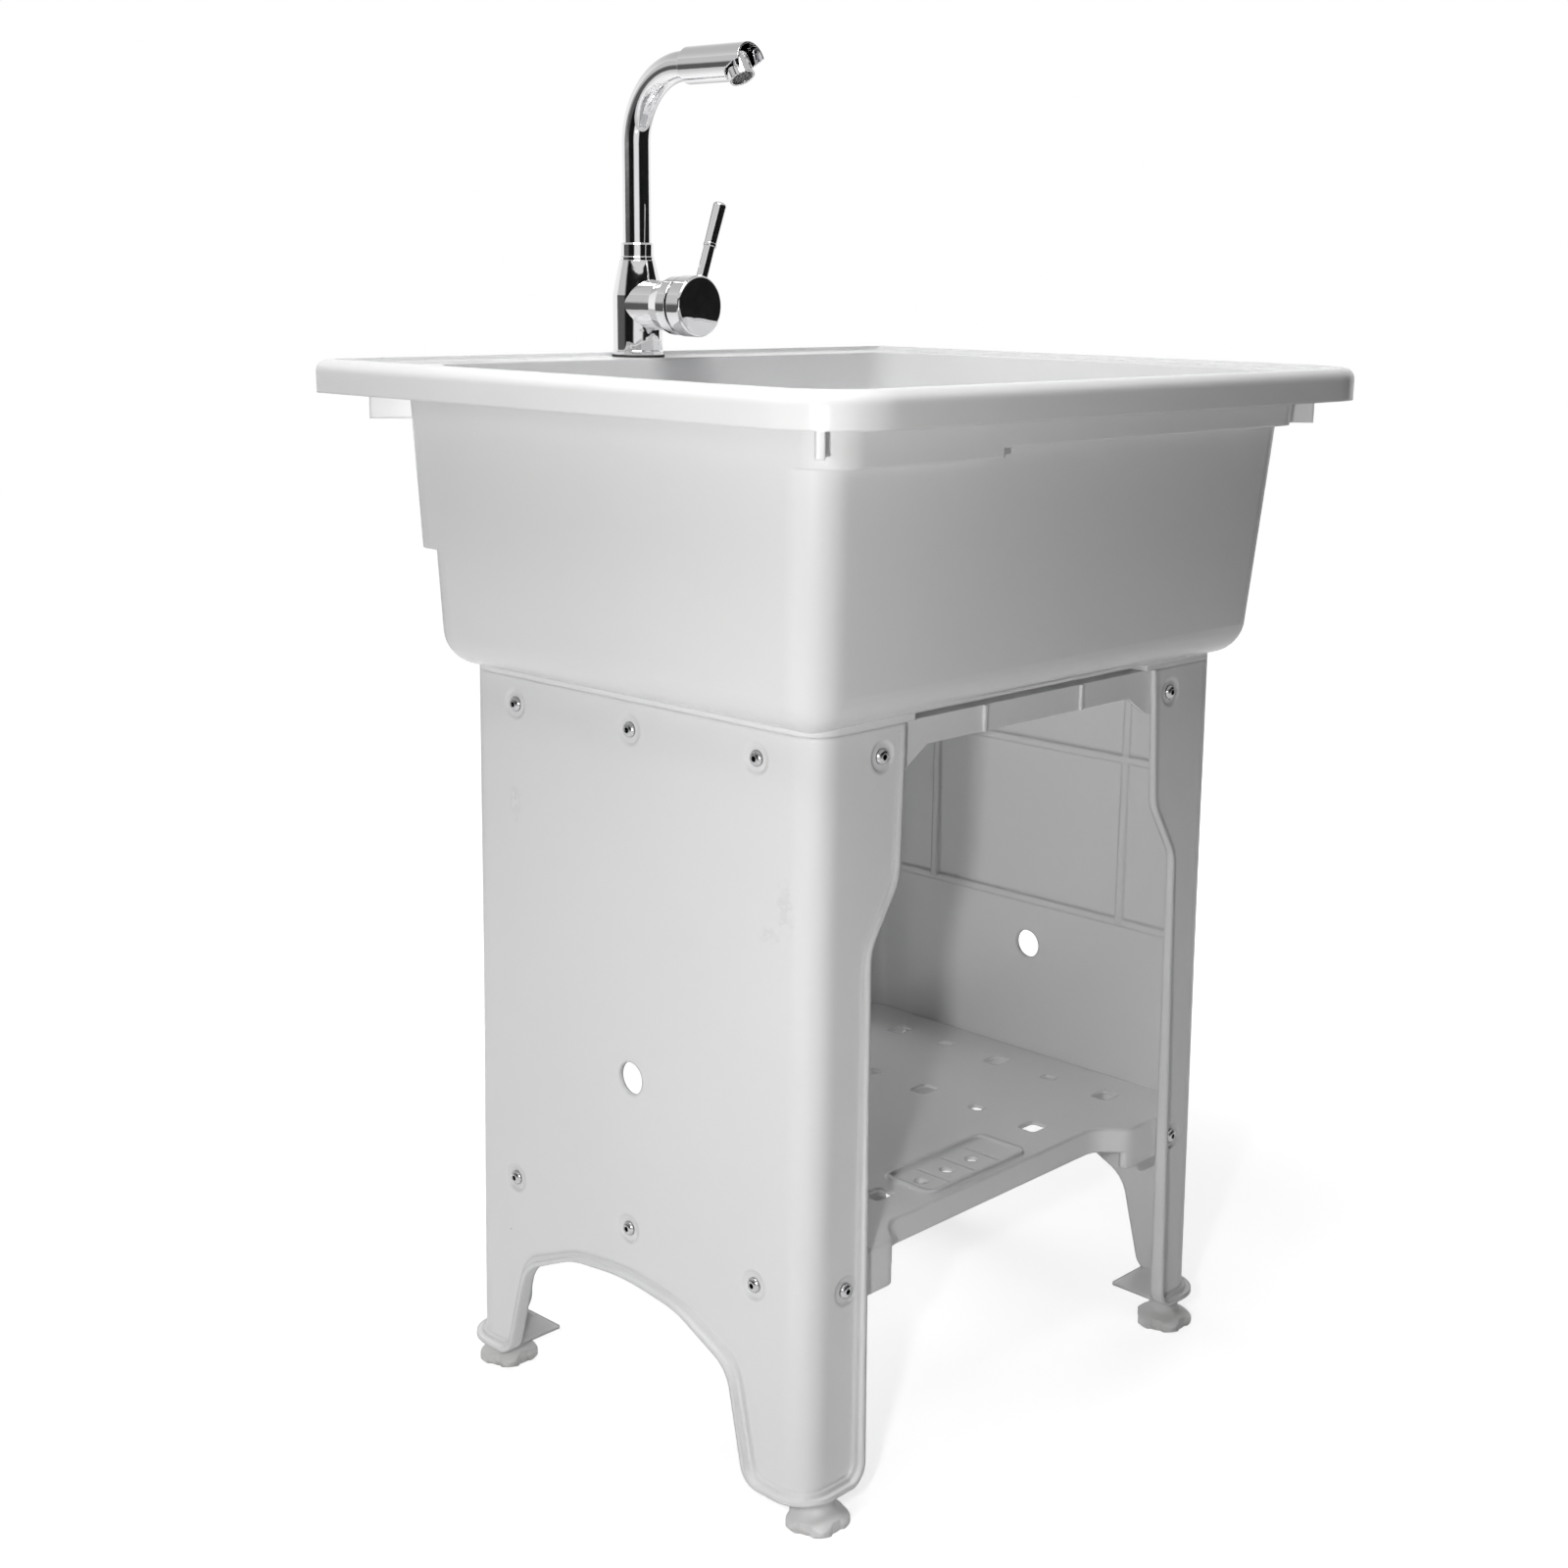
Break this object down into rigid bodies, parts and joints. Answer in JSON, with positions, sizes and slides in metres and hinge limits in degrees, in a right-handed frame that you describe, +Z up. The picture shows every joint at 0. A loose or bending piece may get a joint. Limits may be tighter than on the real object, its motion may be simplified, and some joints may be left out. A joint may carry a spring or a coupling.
{
  "type": "utility laundry sink",
  "caption": "Moulded plastic laundry sink on a two-panel stand with shelf, levelling feet, swivel mixer tap and basket waste.",
  "frame": {"origin": "bottom centre of the whole sink, on the floor under the middle of the rim", "axes": "+X to the right seen from the front, +Y toward the tap deck at the back, +Z up"},
  "size_m": [0.64, 0.54, 1.0687],
  "materials": {
    "white_moulding": "glossy moulded",
    "foot_plastic": "satin moulded",
    "chrome_plate": "polished",
    "zinc_steel": "bright zinc",
    "brass_metal": "turned",
    "black_rubber": "matte",
    "stainless": "brushed",
    "waste_plastic": "matte moulded",
    "cartridge_plastic": "matte moulded"
  },
  "bodies": {
    "stand": {"basin": "white_moulding", "left_side_panel": "white_moulding", "right_side_panel": "white_moulding", "front_cross_rail": "white_moulding", "rear_cross_rail": "white_moulding", "bottom_shelf": "white_moulding", "side_screws": "zinc_steel", "side_nuts": "zinc_steel", "return_screws": "zinc_steel", "return_nuts": "zinc_steel", "foot_inserts": "brass_metal", "tap_gasket": "black_rubber", "tap_body": "chrome_plate", "tap_shank": "brass_metal", "tap_washer": "black_rubber", "tap_nut": "brass_metal", "inlet_tails": "brass_metal", "spout_bushing": "cartridge_plastic", "spout_collar": "chrome_plate", "cartridge": "cartridge_plastic", "cartridge_ring": "brass_metal", "waste_flange": "stainless", "waste_seal": "black_rubber", "waste_locknut": "waste_plastic", "tailpiece": "waste_plastic", "slip_nut": "waste_plastic"},
    "front_left_leveller": {"front_left_foot": "foot_plastic", "front_left_stud": "zinc_steel"},
    "front_right_leveller": {"front_right_foot": "foot_plastic", "front_right_stud": "zinc_steel"},
    "rear_left_leveller": {"rear_left_foot": "foot_plastic", "rear_left_stud": "zinc_steel"},
    "rear_right_leveller": {"rear_right_foot": "foot_plastic", "rear_right_stud": "zinc_steel"},
    "spout": {"spout_tube": "chrome_plate", "spout_sleeve": "chrome_plate", "aerator_housing": "chrome_plate", "aerator_screen": "stainless"},
    "mixing_stem": {"cartridge_stem": "brass_metal"},
    "lever": {"lever_cap": "chrome_plate", "lever_pin": "stainless", "lever_rod": "chrome_plate", "lever_ring": "chrome_plate", "lever_grip": "chrome_plate"},
    "basket": {"strainer_basket": "stainless"}
  },
  "joints": [
    {"name": "front_left_level", "type": "slide", "parent": "stand", "child": "front_left_leveller", "axis": [0, 0, -1], "range_m": [0, 0.012]},
    {"name": "front_right_level", "type": "slide", "parent": "stand", "child": "front_right_leveller", "axis": [0, 0, -1], "range_m": [0, 0.012]},
    {"name": "rear_left_level", "type": "slide", "parent": "stand", "child": "rear_left_leveller", "axis": [0, 0, -1], "range_m": [0, 0.012]},
    {"name": "rear_right_level", "type": "slide", "parent": "stand", "child": "rear_right_leveller", "axis": [0, 0, -1], "range_m": [0, 0.012]},
    {"name": "spout_swivel", "type": "hinge", "parent": "stand", "child": "spout", "pos_m": [-0.02, 0.235, 0.9], "axis": [0, 0, 1], "range_deg": [-90, 90]},
    {"name": "temperature_turn", "type": "hinge", "parent": "stand", "child": "mixing_stem", "pos_m": [-0.02, 0.178, 0.8695], "axis": [0, 1, 0], "range_deg": [-64.7, 25.3]},
    {"name": "flow_tilt", "type": "hinge", "parent": "mixing_stem", "child": "lever", "pos_m": [-0.02573, 0.1741, 0.8535], "axis": [0.9415, 0, -0.3371], "range_deg": [0, 14]},
    {"name": "basket_lift", "type": "slide", "parent": "stand", "child": "basket", "axis": [0, 0, 1], "range_m": [0, 0.1]}
  ]
}
